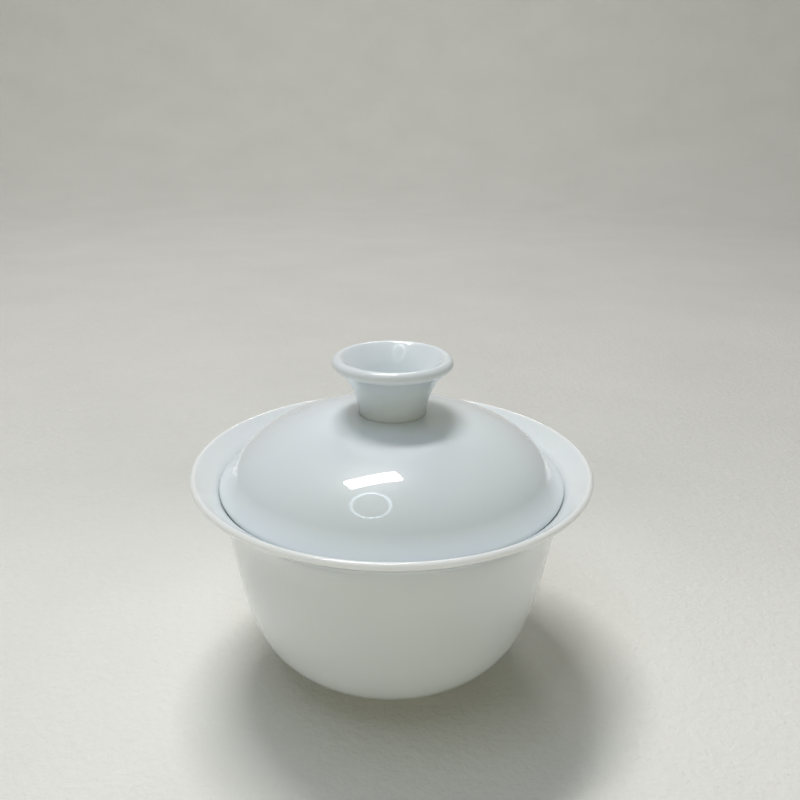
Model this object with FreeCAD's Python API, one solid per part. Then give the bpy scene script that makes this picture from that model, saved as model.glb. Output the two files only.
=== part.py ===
import FreeCAD, Part
import math
import os

# A gaiwan: a flared porcelain tea bowl and the domed lid that rests inside its rim.
# Millimetres, +Z up. The origin is the middle of the foot ring's flat contact face,
# so the bowl stands on Z = 0. Every piece is turned about the Z axis.
# A pair such as (24.0, 4.2) is (radius, height).

# Foot ring
FOOT_RADIUS = 21.5          # outer radius where it meets the bowl
FOOT_HEIGHT = 4.2
FOOT_WIDTH = 3.2            # radial width at the top
FOOT_TAPER = 0.5            # each side leans in by this much towards the contact face
FOOT_EDGE = 0.6             # rounding of both contact edges

# Bowl
RIM_RADIUS = 49.0
BOWL_HEIGHT = 55.5
LIP_THICKNESS = 1.7         # lip is fully rounded
LIP_ANGLE = 40.0            # lip's rise above the horizontal, in degrees
LIP_RUN = 2.6               # straight run of the flare below the lip
WALL_TOP = 1.5              # wall thickness under the flare
WALL_BOTTOM = 2.6           # wall thickness where the belly turns under
FLOOR_HEIGHT = 6.9          # inside floor of the bowl
FLOOR_RADIUS = 16.0         # inside floor is nearly flat up to here
SEAT_RADIUS = 24.0          # flat underside that the foot ring is luted to
# Control points of the outside, from the belly's turn up to the flare
BELLY_TURN = (27.3, 5.1)
BELLY = (33.3, 9.5)
BELLY_TOP = (37.0, 18.8)
WALL_MIDDLE = (39.3, 30.3)
WALL_NECK = (40.8, 42.6)
FLARE_TURN = (43.4, 51.2)

# Lid
LID_RADIUS = 42.3
LID_WALL = 1.8
BRIM_FALL = 44.0            # the brim falls this much below the horizontal at its edge, in degrees
LID_EDGE_HEIGHT = 51.1      # height of the middle of the brim's rounded edge
DOME_RADIUS = 39.8          # dome is a half ellipse in section
DOME_RISE = 17.8            # from the brim's mid-height to the crown
DOME_FOOT = 0.276           # share of its rise at which the dome runs out into the brim

# Knob: a hollow trumpet cup luted to the crown of the lid; heights are above its base
KNOB_BASE_RADIUS = 8.2
KNOB_HEIGHT = 13.9
KNOB_LIP_RADIUS = 14.5
KNOB_LIP_ROUND = 1.45
KNOB_LIP_ANGLE = 36.0       # lip's rise above the horizontal, in degrees
# Control points of the outside of the stem, from the base up to the lip
STEM_FOOT = (8.15, 0.9)
STEM_WAIST = (8.5, 2.6)
STEM_MIDDLE = (9.6, 6.3)
STEM_TOP = (11.5, 9.5)
# Control points of the inside of the cup, from the middle of its floor up to the lip
CUP_FLOOR = (0.0, 4.9)
CUP_CORNER = (5.4, 4.9)
CUP_SIDE = (7.2, 8.6)
CUP_MOUTH = (9.2, 11.4)

AXIS_ORIGIN = FreeCAD.Vector(0, 0, 0)
AXIS = FreeCAD.Vector(0, 0, 1)


def point(radius, height):
    """Point of the section plane that is turned about the Z axis."""
    return FreeCAD.Vector(radius, 0, height)


def direction(degrees):
    """Unit vector in the section plane, measured up from outward."""
    angle = math.radians(degrees)
    return point(math.cos(angle), math.sin(angle))


def line(start, end):
    return Part.LineSegment(start, end)


def arc(start, middle, end):
    return Part.Arc(start, middle, end)


def smooth(controls):
    """Smooth curve that starts and ends on its first and last control points."""
    spline = Part.BSplineCurve()
    spline.buildFromPoles(controls, False, min(3, len(controls) - 1))
    return spline


def rounded_lip(middle, rise, radius):
    """Half circle that ends a wall rising in a direction: its outer end, arc and inner end."""
    outward = point(rise.z, -rise.x)
    outer = middle + outward * radius
    inner = middle - outward * radius
    return outer, arc(outer, middle + rise * radius, inner), inner


def turned(outline):
    """Solid of revolution from the outline's edges, given in order."""
    wire = Part.Wire([piece.toShape() for piece in outline])
    solid = Part.Face(wire).revolve(AXIS_ORIGIN, AXIS, 360)
    if solid.Volume < 0:
        solid.reverse()
    return solid


def foot_ring():
    outer_top = point(FOOT_RADIUS, FOOT_HEIGHT)
    inner_top = point(FOOT_RADIUS - FOOT_WIDTH, FOOT_HEIGHT)
    outer = FOOT_RADIUS - FOOT_TAPER
    inner = FOOT_RADIUS - FOOT_WIDTH + FOOT_TAPER
    corner = FOOT_EDGE * (1 - math.sqrt(0.5))
    outer_side = point(outer, FOOT_EDGE)
    inner_side = point(inner, FOOT_EDGE)
    outer_face = point(outer - FOOT_EDGE, 0)
    inner_face = point(inner + FOOT_EDGE, 0)
    return turned([
        line(inner_top, outer_top),
        line(outer_top, outer_side),
        arc(outer_side, point(outer - corner, corner), outer_face),
        line(outer_face, inner_face),
        arc(inner_face, point(inner + corner, corner), inner_side),
        line(inner_side, inner_top),
    ])


def wall_inside(outside_controls):
    """Inner control points of the wall: the outer ones moved in by the wall's thickness."""
    inside = []
    for before, here, after in zip(outside_controls, outside_controls[1:], outside_controls[2:]):
        along = (after - before).normalize()
        share = (here.z - BELLY_TURN[1]) / (FLARE_TURN[1] - BELLY_TURN[1])
        thickness = WALL_BOTTOM + (WALL_TOP - WALL_BOTTOM) * share
        inside.append(here + point(-along.z, along.x) * thickness)
    return inside


def bowl():
    rise = direction(LIP_ANGLE)
    lip_round = LIP_THICKNESS / 2
    lip_middle = point(RIM_RADIUS - lip_round, BOWL_HEIGHT - lip_round)
    outer_lip, lip, inner_lip = rounded_lip(lip_middle, rise, lip_round)

    bottom = point(0, FOOT_HEIGHT)
    seat_edge = point(SEAT_RADIUS, FOOT_HEIGHT)
    wall = [point(*pair) for pair in (BELLY_TURN, BELLY, BELLY_TOP, WALL_MIDDLE, WALL_NECK, FLARE_TURN)]
    outer_run = outer_lip - rise * LIP_RUN
    inner_run = inner_lip - rise * LIP_RUN
    floor_middle = point(0, FLOOR_HEIGHT)
    floor_edge = point(FLOOR_RADIUS, FLOOR_HEIGHT)
    inside = wall_inside([seat_edge] + wall + [outer_run])

    return turned([
        line(bottom, seat_edge),
        smooth([seat_edge] + wall + [outer_run, outer_lip]),
        lip,
        smooth([floor_middle, floor_edge] + inside + [inner_run, inner_lip]),
        line(floor_middle, bottom),
    ])


def dome_arc(radius, rise, start_radius):
    """Dome's section, from a radius near the axis down to its foot."""
    middle = point(0, LID_EDGE_HEIGHT)
    ellipse = Part.Ellipse(point(radius, LID_EDGE_HEIGHT), point(0, LID_EDGE_HEIGHT + rise), middle)
    return Part.ArcOfEllipse(ellipse, math.asin(DOME_FOOT), math.acos(start_radius / radius)).toBSpline()


def crossing(start, along_start, end, along_end):
    """Point where the tangents at the two ends of a curve cross."""
    gap = end - start
    cross = along_start.x * along_end.z - along_start.z * along_end.x
    reach = (gap.x * along_end.z - gap.z * along_end.x) / cross
    return start + along_start * reach


def brim(radius, rise, edge_end):
    """Hollow curve from the dome's foot out to one side of the brim's rounded edge."""
    dome_foot = point(radius * math.sqrt(1 - DOME_FOOT ** 2), LID_EDGE_HEIGHT + rise * DOME_FOOT)
    down_dome = point(radius * DOME_FOOT, -rise * math.sqrt(1 - DOME_FOOT ** 2))
    return smooth([dome_foot, crossing(dome_foot, down_dome, edge_end, direction(-BRIM_FALL)), edge_end])


def crown_height():
    """Height of the flat on the crown that the knob is luted to."""
    return LID_EDGE_HEIGHT + DOME_RISE * math.sqrt(1 - (KNOB_BASE_RADIUS / DOME_RADIUS) ** 2)


def lid():
    edge_round = LID_WALL / 2
    edge_middle = point(LID_RADIUS - edge_round, LID_EDGE_HEIGHT)
    edge_under, edge, edge_top = rounded_lip(edge_middle, direction(-BRIM_FALL), edge_round)
    hollow_radius = DOME_RADIUS - LID_WALL
    hollow_rise = DOME_RISE - LID_WALL
    outer_dome = dome_arc(DOME_RADIUS, DOME_RISE, KNOB_BASE_RADIUS)
    inner_dome = dome_arc(hollow_radius, hollow_rise, 0)
    crown = point(0, crown_height())

    return turned([
        line(inner_dome.EndPoint, crown),
        line(crown, outer_dome.EndPoint),
        outer_dome,
        brim(DOME_RADIUS, DOME_RISE, edge_top),
        edge,
        brim(hollow_radius, hollow_rise, edge_under),
        inner_dome,
    ])


def lid_knob():
    base = crown_height()
    lip_middle = point(KNOB_LIP_RADIUS - KNOB_LIP_ROUND, base + KNOB_HEIGHT - KNOB_LIP_ROUND)
    outer_lip, lip, inner_lip = rounded_lip(lip_middle, direction(KNOB_LIP_ANGLE), KNOB_LIP_ROUND)

    foot = point(0, base)
    foot_edge = point(KNOB_BASE_RADIUS, base)
    stem = [point(radius, base + height) for radius, height in (STEM_FOOT, STEM_WAIST, STEM_MIDDLE, STEM_TOP)]
    cup = [point(radius, base + height) for radius, height in (CUP_FLOOR, CUP_CORNER, CUP_SIDE, CUP_MOUTH)]

    return turned([
        line(foot, foot_edge),
        smooth([foot_edge] + stem + [outer_lip]),
        lip,
        smooth(cup + [inner_lip]),
        line(cup[0], foot),
    ])


os.makedirs("parts", exist_ok=True)
for make in (foot_ring, bowl, lid, lid_knob):
    make().exportStep(f"parts/{make.__name__}.step")
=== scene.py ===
import math

import bpy
from mathutils import Matrix, Vector


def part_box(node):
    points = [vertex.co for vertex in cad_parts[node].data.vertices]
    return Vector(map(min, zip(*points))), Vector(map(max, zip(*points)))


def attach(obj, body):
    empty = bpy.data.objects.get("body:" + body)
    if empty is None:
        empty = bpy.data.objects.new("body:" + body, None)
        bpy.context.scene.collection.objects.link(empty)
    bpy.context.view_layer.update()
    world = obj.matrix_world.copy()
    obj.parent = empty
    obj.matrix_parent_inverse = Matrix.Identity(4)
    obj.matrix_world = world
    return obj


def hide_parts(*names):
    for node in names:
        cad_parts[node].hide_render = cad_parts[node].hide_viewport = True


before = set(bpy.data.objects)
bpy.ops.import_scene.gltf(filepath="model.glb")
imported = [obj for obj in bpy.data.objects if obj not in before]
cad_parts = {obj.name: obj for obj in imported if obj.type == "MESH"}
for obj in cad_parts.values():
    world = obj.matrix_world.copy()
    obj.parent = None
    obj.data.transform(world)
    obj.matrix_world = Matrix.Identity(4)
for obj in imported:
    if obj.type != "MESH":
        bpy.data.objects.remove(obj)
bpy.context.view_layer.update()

# The gaiwan's pieces are all turned about the Z axis. Outlines are (radius, height) pairs in millimetres.
MM = 0.001
foot_low, foot_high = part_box("foot_ring")
bowl_low, bowl_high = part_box("bowl")
lid_low, lid_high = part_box("lid")
knob_low, knob_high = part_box("lid_knob")

FOOT_RADIUS = foot_high.x / MM
FOOT_HEIGHT = foot_high.z / MM
FOOT_WIDTH = 3.2
FOOT_TAPER = 0.5
FOOT_EDGE = 0.6
GLAZE_LINE = 0.75           # glaze stops this far above the table
GLAZE_LINE_WIDTH = 0.25     # it thins out over this height
GLAZE_LINE_WANDER = 0.35    # and its edge wanders by this much

RIM_RADIUS = bowl_high.x / MM
BOWL_HEIGHT = bowl_high.z / MM
LIP_THICKNESS = 1.7
LIP_ANGLE = 40.0
LIP_RUN = 2.6
WALL_TOP = 1.5
WALL_BOTTOM = 2.6
FLOOR_HEIGHT = 6.9
FLOOR_RADIUS = 16.0
SEAT_RADIUS = 24.0
BELLY_TURN = (27.3, 5.1)
BELLY = (33.3, 9.5)
BELLY_TOP = (37.0, 18.8)
WALL_MIDDLE = (39.3, 30.3)
WALL_NECK = (40.8, 42.6)
FLARE_TURN = (43.4, 51.2)

LID_RADIUS = lid_high.x / MM
LID_WALL = 1.8
LID_EDGE_HEIGHT = lid_low.z / MM + LID_WALL / 2
BRIM_FALL = 44.0
DOME_RADIUS = 39.8
DOME_RISE = 17.8
DOME_FOOT = 0.276

KNOB_BASE = knob_low.z / MM
KNOB_HEIGHT = (knob_high.z - knob_low.z) / MM
KNOB_BASE_RADIUS = 8.2
KNOB_LIP_RADIUS = knob_high.x / MM
KNOB_LIP_ROUND = 1.45
KNOB_LIP_ANGLE = 36.0
STEM_FOOT = (8.15, 0.9)
STEM_WAIST = (8.5, 2.6)
STEM_MIDDLE = (9.6, 6.3)
STEM_TOP = (11.5, 9.5)
CUP_FLOOR = (0.0, 4.9)
CUP_CORNER = (5.4, 4.9)
CUP_SIDE = (7.2, 8.6)
CUP_MOUTH = (9.2, 11.4)

SEGMENTS = 240              # around each turned piece

# Colours are (position, colour) stops
PORCELAIN_IOR = 1.5
BLEED_COLOUR = (1.0, 0.95, 0.9)
# The outline's turn, in radians per millimetre, on a sharp edge and in a deep hollow
EDGE_TURN = -1.2
HOLLOW_TURN = 0.6
POOLED_GLAZE = (
    (0.0, (0.84, 0.87, 0.92)),
    (0.62, (0.80, 0.84, 0.89)),
    (0.70, (0.79, 0.835, 0.885)),
    (1.0, (0.74, 0.79, 0.82)),
)
GLAZE_CLOUDS = (
    (0.3, (0.975, 0.975, 1.0)),
    (0.7, (0.985, 1.0, 0.98)),
)
BARE_FOOT = (
    (0.35, (0.70, 0.66, 0.59)),
    (0.65, (0.82, 0.80, 0.75)),
)
GLAZED_FOOT = (
    (0.3, (0.77, 0.81, 0.85)),
    (0.7, (0.80, 0.84, 0.89)),
)

# Camera, in metres and degrees; its lens and sensor are in millimetres
CAMERA_BACK = 0.1858
CAMERA_HEIGHT = 0.1399
CAMERA_RIGHT = 0.0018
CAMERA_PITCH = 20.27
CAMERA_ROLL = 0.58
CAMERA_LENS = 36.9
CAMERA_SENSOR = 36.0

# Lamps, in metres and watts. The ring lamp goes round its middle through the tips of two half axes.
LAMP_AIM = (0.0, 0.0, 0.05)
RING_MIDDLE = (-0.1, -0.145, 0.625)
RING_ACROSS = (0.0951, -0.0028, 0.0153)
RING_UP = (0.0106, 0.1504, 0.0349)
RING_THICKNESS = 0.018
RING_STRIPS = 24
RING_POWER = 0.26
RING_COLOUR = (0.75, 0.86, 1.0)

# Area lights: name, place, aim, width, depth, power in watts, colour, spin in degrees
MIRRORED = ("overhead_panel", "back_panel")     # the other lights leave no highlight in the glaze
LIGHTS = (
    ("overhead_panel", (-0.16, 0.30, 1.25), (-0.16, 0.30, 0.0), 0.46, 0.17, 8.9, (1.0, 0.98, 0.96), 21.0),
    ("back_panel", (0.0, 1.3, 1.25), (0.0, 1.3, 0.0), 0.4, 0.4, 3.2, (1.0, 0.99, 0.97), 0.0),
    ("back_left", (-0.265, 0.728, 1.156), LAMP_AIM, 0.7, 0.7, 0.6, (1.0, 1.0, 1.0), 0.0),
    ("ring_glow", RING_MIDDLE, LAMP_AIM, 0.25, 0.25, 0.45, (0.85, 0.92, 1.0), 0.0),
    ("front_fill", (0.0, -1.22, 0.62), LAMP_AIM, 0.7, 0.7, 1.7, (1.0, 0.96, 0.55), 0.0),
)

WORLD_COLOUR = (0.95, 0.98, 1.0, 1.0)
WORLD_STRENGTH = 0.01

COVE_RADIUS = 1.6
COVE_CORNER = 0.7
COVE_HEIGHT = 1.5
# Painted light falloff: the cove is painted palest at the front and a little greyer towards the back
COVE_FRONT = -0.05
COVE_BACK = 0.45
COVE_CLOUDS = (
    (0.3, (0.84, 0.84, 0.81)),
    (0.7, (0.88, 0.88, 0.85)),
)
COVE_PAINTED_FALLOFF = (
    (0.0, (1.0, 1.0, 1.0)),
    (0.14, (0.95, 0.95, 0.95)),
    (0.32, (0.82, 0.82, 0.82)),
    (1.0, (0.75, 0.75, 0.75)),
)


# ---------------------------------------------------------------- outlines

def point(radius, height):
    return Vector((radius, height))


def direction(degrees):
    angle = math.radians(degrees)
    return Vector((math.cos(angle), math.sin(angle)))


def smooth(controls, steps):
    """Points on the clamped, evenly knotted B-spline that starts and ends on its end controls."""
    degree = min(3, len(controls) - 1)
    spans = len(controls) - degree
    knots = [0.0] * (degree + 1) + [float(i) for i in range(1, spans)] + [float(spans)] * (degree + 1)
    points = []
    for step in range(steps + 1):
        t = spans * step / steps
        span = min(int(t), spans - 1) + degree
        near = [controls[span - degree + i].copy() for i in range(degree + 1)]
        for level in range(1, degree + 1):
            for i in range(degree, level - 1, -1):
                low = knots[span - degree + i]
                high = knots[span + 1 + i - level]
                near[i] = near[i - 1].lerp(near[i], (t - low) / (high - low))
        points.append(near[degree])
    return points


def half_circle(middle, rise, radius, steps):
    """Rounded lip of a wall that rises in a direction, from its outer end to its inner end."""
    start = math.atan2(rise.y, rise.x) - math.pi / 2
    angles = [start + math.pi * step / steps for step in range(steps + 1)]
    return [middle + Vector((math.cos(a), math.sin(a))) * radius for a in angles]


def quarter_circle(middle, radius, first_degrees, last_degrees, steps):
    sweep = last_degrees - first_degrees
    return [middle + direction(first_degrees + sweep * step / steps) * radius for step in range(steps + 1)]


def straight(start, end, steps):
    return [start.lerp(end, step / steps) for step in range(steps + 1)]


def joined(*runs):
    """One outline from runs that meet end to end."""
    outline = list(runs[0])
    for run in runs[1:]:
        first = 1 if (run[0] - outline[-1]).length < 1e-4 else 0
        outline.extend(run[first:])
    return outline


def wall_inside(outside_controls):
    inside = []
    for before, here, after in zip(outside_controls, outside_controls[1:], outside_controls[2:]):
        along = (after - before).normalized()
        share = (here.y - BELLY_TURN[1]) / (FLARE_TURN[1] - BELLY_TURN[1])
        thickness = WALL_BOTTOM + (WALL_TOP - WALL_BOTTOM) * share
        inside.append(here + Vector((-along.y, along.x)) * thickness)
    return inside


def bowl_outline():
    rise = direction(LIP_ANGLE)
    lip_round = LIP_THICKNESS / 2
    lip_middle = point(RIM_RADIUS - lip_round, BOWL_HEIGHT - lip_round)
    lip = half_circle(lip_middle, rise, lip_round, steps=16)
    seat_edge = point(SEAT_RADIUS, FOOT_HEIGHT)
    wall = [point(*pair) for pair in (BELLY_TURN, BELLY, BELLY_TOP, WALL_MIDDLE, WALL_NECK, FLARE_TURN)]
    outer_run = lip[0] - rise * LIP_RUN
    inner_run = lip[-1] - rise * LIP_RUN
    inside = wall_inside([seat_edge] + wall + [outer_run])
    floor = [point(0, FLOOR_HEIGHT), point(FLOOR_RADIUS, FLOOR_HEIGHT)]
    return joined(
        straight(point(0, FOOT_HEIGHT), seat_edge, steps=12),
        smooth([seat_edge] + wall + [outer_run, lip[0]], steps=72),
        lip,
        smooth(floor + inside + [inner_run, lip[-1]], steps=84)[::-1],
    )


def foot_ring_outline():
    outer = FOOT_RADIUS - FOOT_TAPER
    inner = FOOT_RADIUS - FOOT_WIDTH + FOOT_TAPER
    inner_top = point(FOOT_RADIUS - FOOT_WIDTH, FOOT_HEIGHT)
    outer_top = point(FOOT_RADIUS, FOOT_HEIGHT)
    return joined(
        straight(inner_top, point(inner, FOOT_EDGE), steps=8),
        quarter_circle(point(inner + FOOT_EDGE, FOOT_EDGE), FOOT_EDGE, 180, 270, steps=8),
        quarter_circle(point(outer - FOOT_EDGE, FOOT_EDGE), FOOT_EDGE, 270, 360, steps=8),
        straight(point(outer, FOOT_EDGE), outer_top, steps=8),
        straight(outer_top, inner_top, steps=4),
    )


def dome(radius, rise, start_radius, steps):
    """Dome's section, from a radius near the axis down to its foot."""
    high = math.acos(start_radius / radius)
    low = math.asin(DOME_FOOT)
    angles = [high + (low - high) * step / steps for step in range(steps + 1)]
    return [point(radius * math.cos(a), LID_EDGE_HEIGHT + rise * math.sin(a)) for a in angles]


def crossing(start, along_start, end, along_end):
    """Point where the tangents at the two ends of a curve cross."""
    gap = end - start
    cross = along_start.x * along_end.y - along_start.y * along_end.x
    return start + along_start * ((gap.x * along_end.y - gap.y * along_end.x) / cross)


def brim(radius, rise, edge_end):
    """Hollow curve from the dome's foot out to one side of the brim's rounded edge."""
    across = math.sqrt(1 - DOME_FOOT ** 2)
    dome_foot = point(radius * across, LID_EDGE_HEIGHT + rise * DOME_FOOT)
    down_dome = point(radius * DOME_FOOT, -rise * across)
    turn = crossing(dome_foot, down_dome, edge_end, direction(-BRIM_FALL))
    return smooth([dome_foot, turn, edge_end], steps=24)


def lid_outline():
    edge_round = LID_WALL / 2
    edge_middle = point(LID_RADIUS - edge_round, LID_EDGE_HEIGHT)
    edge = half_circle(edge_middle, direction(-BRIM_FALL), edge_round, steps=20)[::-1]
    hollow_radius = DOME_RADIUS - LID_WALL
    hollow_rise = DOME_RISE - LID_WALL
    outer = dome(DOME_RADIUS, DOME_RISE, KNOB_BASE_RADIUS, steps=72)
    inner = dome(hollow_radius, hollow_rise, 0, steps=72)
    return joined(
        straight(point(0, outer[0].y), outer[0], steps=6),
        outer,
        brim(DOME_RADIUS, DOME_RISE, edge[0]),
        edge,
        brim(hollow_radius, hollow_rise, edge[-1])[::-1],
        inner[::-1],
    )


def above_base(*pairs):
    """Points from (radius, height above the knob's base) pairs."""
    return [point(radius, KNOB_BASE + height) for radius, height in pairs]


def knob_outline():
    middle = point(KNOB_LIP_RADIUS - KNOB_LIP_ROUND, KNOB_BASE + KNOB_HEIGHT - KNOB_LIP_ROUND)
    lip = half_circle(middle, direction(KNOB_LIP_ANGLE), KNOB_LIP_ROUND, steps=24)
    base_edge = point(KNOB_BASE_RADIUS, KNOB_BASE)
    stem = above_base(STEM_FOOT, STEM_WAIST, STEM_MIDDLE, STEM_TOP)
    cup = above_base(CUP_FLOOR, CUP_CORNER, CUP_SIDE, CUP_MOUTH)
    return joined(
        straight(point(0, KNOB_BASE), base_edge, steps=6),
        smooth([base_edge] + stem + [lip[0]], steps=40),
        lip,
        smooth(cup + [lip[-1]], steps=36)[::-1],
    )


# ---------------------------------------------------------------- meshes

def glaze_depth(outline, closed):
    """Turn of the outline at each point, in radians per millimetre: hollows are positive, edges negative."""
    depths = []
    count = len(outline)
    for i, here in enumerate(outline):
        before = outline[(i - 1) % count] if closed or i > 0 else here
        after = outline[(i + 1) % count] if closed or i < count - 1 else here
        arriving = here - before
        leaving = after - here
        if arriving.length < 1e-6 or leaving.length < 1e-6:
            depths.append(0.0)
            continue
        turn = arriving.x * leaving.y - arriving.y * leaving.x
        sine = turn / (arriving.length * leaving.length)
        depths.append(-math.asin(max(-1.0, min(1.0, sine))) * 2 / (arriving.length + leaving.length))
    return depths


def turned(name, outline, material, closed=False):
    """Mesh of the outline turned about Z, with the outline's hollows and edges in an attribute."""
    rings = []
    vertices = []
    depths = []
    for here, depth in zip(outline, glaze_depth(outline, closed)):
        if here.x < 1e-6:
            rings.append([len(vertices)])
            vertices.append((0.0, 0.0, here.y * MM))
            depths.append(depth)
            continue
        rings.append([len(vertices) + i for i in range(SEGMENTS)])
        for i in range(SEGMENTS):
            angle = 2 * math.pi * i / SEGMENTS
            vertices.append((here.x * math.cos(angle) * MM, here.x * math.sin(angle) * MM, here.y * MM))
            depths.append(depth)
    pairs = list(zip(rings, rings[1:]))
    if closed:
        pairs.append((rings[-1], rings[0]))
    faces = []
    for low, high in pairs:
        for i in range(SEGMENTS):
            j = (i + 1) % SEGMENTS
            corners = [low[i % len(low)], low[j % len(low)], high[j % len(high)], high[i % len(high)]]
            faces.append(list(dict.fromkeys(corners)))
    mesh = bpy.data.meshes.new(name)
    mesh.from_pydata(vertices, [], faces)
    mesh.validate()
    attribute = mesh.attributes.new("glaze_depth", "FLOAT", "POINT")
    attribute.data.foreach_set("value", depths)
    mesh.polygons.foreach_set("use_smooth", [True] * len(mesh.polygons))
    mesh.materials.append(material)
    piece = bpy.data.objects.new(name, mesh)
    bpy.context.scene.collection.objects.link(piece)
    return piece


# ---------------------------------------------------------------- materials

def new_material(name):
    material = bpy.data.materials.new(name)
    material.use_nodes = True
    nodes = material.node_tree.nodes
    return material, nodes, material.node_tree.links, nodes["Principled BSDF"]


def noise(nodes, links, coordinates, scale, detail, roughness):
    node = nodes.new("ShaderNodeTexNoise")
    node.inputs["Scale"].default_value = scale
    node.inputs["Detail"].default_value = detail
    node.inputs["Roughness"].default_value = roughness
    links.new(coordinates, node.inputs["Vector"])
    return node.outputs["Fac"]


def ramp(nodes, links, value, stops):
    """Colour ramp from (position, colour) stops."""
    node = nodes.new("ShaderNodeValToRGB")
    elements = node.color_ramp.elements
    while len(elements) < len(stops):
        elements.new(0.5)
    for element, (position, colour) in zip(elements, stops):
        element.position = position
        element.color = (*colour, 1.0)
    links.new(value, node.inputs["Fac"])
    return node.outputs["Color"]


def bump(nodes, links, height, strength, distance, normal=None):
    node = nodes.new("ShaderNodeBump")
    node.inputs["Strength"].default_value = strength
    node.inputs["Distance"].default_value = distance
    links.new(height, node.inputs["Height"])
    if normal is not None:
        links.new(normal, node.inputs["Normal"])
    return node.outputs["Normal"]


def mixed(nodes, links, share, low, high):
    node = nodes.new("ShaderNodeMix")
    node.data_type = "RGBA"
    links.new(share, node.inputs["Factor"])
    links.new(low, node.inputs["A"])
    links.new(high, node.inputs["B"])
    return node.outputs["Result"]


def multiplied(nodes, links, colour, tone):
    node = nodes.new("ShaderNodeMix")
    node.data_type = "RGBA"
    node.blend_type = "MULTIPLY"
    node.inputs["Factor"].default_value = 1.0
    links.new(colour, node.inputs["A"])
    links.new(tone, node.inputs["B"])
    return node.outputs["Result"]


def ranged(nodes, links, value, low, high):
    """Number between a low and a high as the value goes from 0 to 1."""
    node = nodes.new("ShaderNodeMapRange")
    node.inputs["To Min"].default_value = low
    node.inputs["To Max"].default_value = high
    links.new(value, node.inputs["Value"])
    return node.outputs["Result"]


def share_between(nodes, links, value, low, high):
    """How far the value is from a low to a high, from 0 to 1."""
    node = nodes.new("ShaderNodeMapRange")
    node.inputs["From Min"].default_value = low
    node.inputs["From Max"].default_value = high
    links.new(value, node.inputs["Value"])
    return node.outputs["Result"]


def let_light_in(shader, weight, reach):
    """Light bleeds this far, in metres, into the porcelain."""
    shader.inputs["Subsurface Weight"].default_value = weight
    shader.inputs["Subsurface Radius"].default_value = BLEED_COLOUR
    shader.inputs["Subsurface Scale"].default_value = reach


def glaze_material(name, tint, bleed, reach):
    """Clear glaze over white porcelain: cooler where it pools, paler on edges, with light in thin walls."""
    material, nodes, links, shader = new_material(name)
    coordinates = nodes.new("ShaderNodeTexCoord").outputs["Object"]

    depth = nodes.new("ShaderNodeAttribute")
    depth.attribute_name = "glaze_depth"
    pooling = share_between(nodes, links, depth.outputs["Fac"], EDGE_TURN, HOLLOW_TURN)
    pooled = ramp(nodes, links, pooling, POOLED_GLAZE)
    cloud = noise(nodes, links, coordinates, scale=38.0, detail=3.0, roughness=0.5)
    clouds = [(place, [c * t for c, t in zip(colour, tint)]) for place, colour in GLAZE_CLOUDS]
    clouded = ramp(nodes, links, cloud, clouds)
    links.new(multiplied(nodes, links, pooled, clouded), shader.inputs["Base Color"])

    peel = noise(nodes, links, coordinates, scale=900.0, detail=2.0, roughness=0.5)
    ripple = noise(nodes, links, coordinates, scale=90.0, detail=1.0, roughness=0.4)
    rippled = bump(nodes, links, ripple, strength=0.12, distance=0.00025)
    peeled = bump(nodes, links, peel, strength=0.05, distance=0.00003, normal=rippled)
    links.new(peeled, shader.inputs["Coat Normal"])
    links.new(rippled, shader.inputs["Normal"])

    links.new(ranged(nodes, links, cloud, 0.30, 0.38), shader.inputs["Roughness"])
    shader.inputs["IOR"].default_value = PORCELAIN_IOR
    shader.inputs["Specular IOR Level"].default_value = 0.25
    let_light_in(shader, bleed, reach)
    shader.inputs["Coat Weight"].default_value = 1.0
    shader.inputs["Coat Roughness"].default_value = 0.025
    shader.inputs["Coat IOR"].default_value = PORCELAIN_IOR
    return material


def biscuit_material():
    """The foot ring: glazed down its sides, bare fine-grained porcelain where it touches the table."""
    material, nodes, links, shader = new_material("bare_foot")
    coordinates = nodes.new("ShaderNodeTexCoord").outputs["Object"]
    grain = noise(nodes, links, coordinates, scale=2600.0, detail=4.0, roughness=0.7)
    stain = noise(nodes, links, coordinates, scale=160.0, detail=4.0, roughness=0.6)
    bare = ramp(nodes, links, stain, BARE_FOOT)
    glazed = ramp(nodes, links, stain, GLAZED_FOOT)

    place = nodes.new("ShaderNodeSeparateXYZ")
    links.new(coordinates, place.inputs["Vector"])
    edge = nodes.new("ShaderNodeMath")
    edge.operation = "MULTIPLY_ADD"
    edge.inputs[1].default_value = GLAZE_LINE_WANDER * MM
    links.new(stain, edge.inputs[0])
    links.new(place.outputs["Z"], edge.inputs[2])
    line_top = GLAZE_LINE + GLAZE_LINE_WIDTH
    share = share_between(nodes, links, edge.outputs["Value"], GLAZE_LINE * MM, line_top * MM)
    links.new(mixed(nodes, links, share, bare, glazed), shader.inputs["Base Color"])

    links.new(ranged(nodes, links, share, 0.85, 0.12), shader.inputs["Roughness"])
    grained = bump(nodes, links, grain, strength=0.35, distance=0.00006)
    links.new(grained, shader.inputs["Normal"])
    shader.inputs["IOR"].default_value = PORCELAIN_IOR
    let_light_in(shader, weight=0.3, reach=0.0015)
    return material


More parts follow.
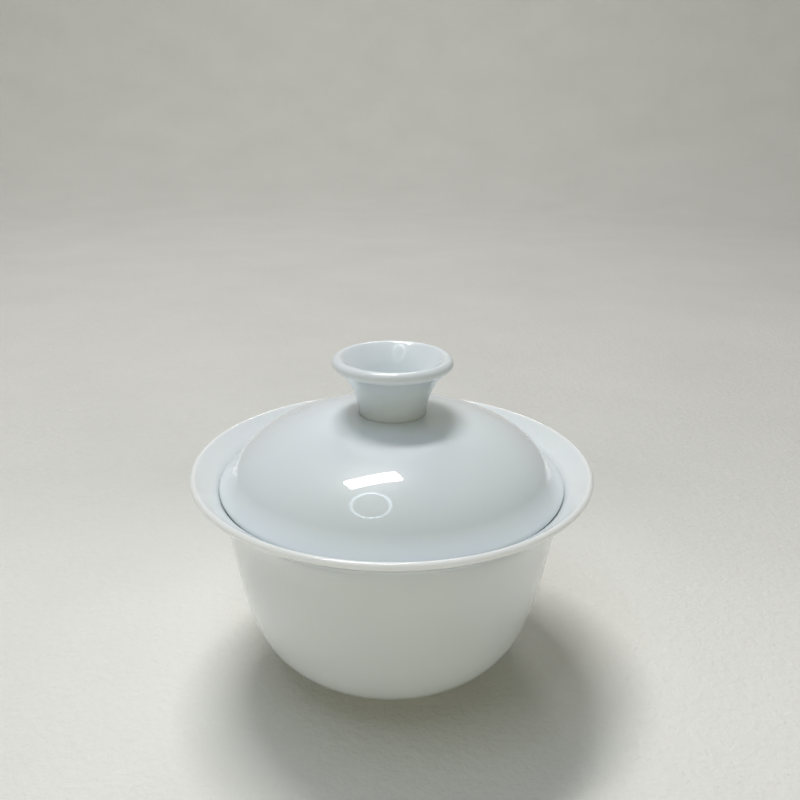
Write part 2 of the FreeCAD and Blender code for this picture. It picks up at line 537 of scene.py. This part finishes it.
def cove_material():
    """Pale matte backdrop with a fine soft grain, and painted light falloff that darkens it towards the
    back.
    """
    material, nodes, links, shader = new_material("pale_cove")
    coordinates = nodes.new("ShaderNodeTexCoord").outputs["Object"]
    grain = noise(nodes, links, coordinates, scale=420.0, detail=3.0, roughness=0.6)
    cloud = noise(nodes, links, coordinates, scale=14.0, detail=3.0, roughness=0.5)
    colour = ramp(nodes, links, cloud, COVE_CLOUDS)
    place = nodes.new("ShaderNodeSeparateXYZ")
    links.new(coordinates, place.inputs["Vector"])
    # Painted light falloff: the cove's colour darkens from front to back
    depth = share_between(nodes, links, place.outputs["Y"], COVE_FRONT, COVE_BACK)
    painted_falloff = ramp(nodes, links, depth, COVE_PAINTED_FALLOFF)
    links.new(multiplied(nodes, links, colour, painted_falloff), shader.inputs["Base Color"])
    grained = bump(nodes, links, grain, strength=0.8, distance=0.0007)
    links.new(grained, shader.inputs["Normal"])
    shader.inputs["Roughness"].default_value = 0.9
    shader.inputs["Specular IOR Level"].default_value = 0.2
    return material


# ---------------------------------------------------------------- scene

def add_cove():
    """Round floor whose edge sweeps up into a wall on every side."""
    radius = COVE_RADIUS / MM
    corner = COVE_CORNER / MM
    height = COVE_HEIGHT / MM
    outline = joined(
        [point(0, 0), point(radius / 3, 0), point(radius - corner, 0)],
        quarter_circle(point(radius - corner, corner), corner, -90, 0, steps=24),
        [point(radius, corner), point(radius, height)],
    )
    cove = turned("cove", outline, cove_material())


def add_camera():
    data = bpy.data.cameras.new("camera")
    data.lens = CAMERA_LENS
    data.sensor_width = CAMERA_SENSOR
    data.clip_start = 0.01
    camera = bpy.data.objects.new("camera", data)
    bpy.context.scene.collection.objects.link(camera)
    place = Matrix.Translation((CAMERA_RIGHT, -CAMERA_BACK, CAMERA_HEIGHT))
    pitch = Matrix.Rotation(math.radians(90 - CAMERA_PITCH), 4, "X")
    roll = Matrix.Rotation(math.radians(CAMERA_ROLL), 4, "Z")
    camera.matrix_world = place @ pitch @ roll
    bpy.context.scene.camera = camera


def soft_light(name, place, aim, width, depth, power, colour, spin=0.0):
    data = bpy.data.lights.new(name, "AREA")
    data.shape = "RECTANGLE"
    data.size = width
    data.size_y = depth
    data.energy = power
    data.color = colour
    light = bpy.data.objects.new(name, data)
    bpy.context.scene.collection.objects.link(light)
    away = (Vector(place) - Vector(aim)).to_track_quat("Z", "Y").to_matrix().to_4x4()
    turn = Matrix.Rotation(math.radians(spin), 4, "Z")
    light.matrix_world = Matrix.Translation(place) @ away @ turn
    light.visible_camera = False
    return light


def ring_lamp():
    """Ring of short light strips, round a middle and through the tips of its two half axes."""
    across = Vector(RING_ACROSS)
    up = Vector(RING_UP)
    step = 2 * math.pi / RING_STRIPS
    for index in range(RING_STRIPS):
        angle = index * step
        place = Vector(RING_MIDDLE) + across * math.cos(angle) + up * math.sin(angle)
        along = up * math.cos(angle) - across * math.sin(angle)
        strip = soft_light(
            f"ring_lamp_{index}", place, LAMP_AIM, along.length * step, RING_THICKNESS,
            RING_POWER / RING_STRIPS, RING_COLOUR,
        )
        back = (place - Vector(LAMP_AIM)).normalized()
        tangent = (along - back * along.dot(back)).normalized()
        turn = Matrix((tangent, back.cross(tangent), back)).transposed().to_4x4()
        strip.matrix_world = Matrix.Translation(place) @ turn


def add_lights():
    for light in LIGHTS:
        soft_light(*light).visible_glossy = light[0] in MIRRORED
    ring_lamp()


def add_world():
    world = bpy.data.worlds.new("studio")
    bpy.context.scene.world = world
    world.use_nodes = True
    background = world.node_tree.nodes["Background"]
    background.inputs["Color"].default_value = WORLD_COLOUR
    background.inputs["Strength"].default_value = WORLD_STRENGTH


def build_piece(name, outline, material, body, node, closed=False):
    piece = turned(name, outline, material, closed)
    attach(piece, body)
    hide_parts(node)
    return piece


def main():
    bowl_glaze = glaze_material("bowl_glaze", tint=(1.04, 1.04, 1.01), bleed=0.75, reach=0.003)
    lid_glaze = glaze_material("lid_glaze", tint=(0.995, 1.012, 1.008), bleed=0.4, reach=0.001)
    biscuit = biscuit_material()
    build_piece("glazed_bowl", bowl_outline(), bowl_glaze, "bowl", "bowl")
    build_piece("glazed_foot_ring", foot_ring_outline(), biscuit, "bowl", "foot_ring", closed=True)
    build_piece("glazed_lid", lid_outline(), lid_glaze, "lid", "lid")
    build_piece("glazed_knob", knob_outline(), lid_glaze, "lid", "lid_knob")
    add_cove()
    add_lights()
    add_world()
    add_camera()
    bpy.context.scene.view_settings.view_transform = "Standard"


main()
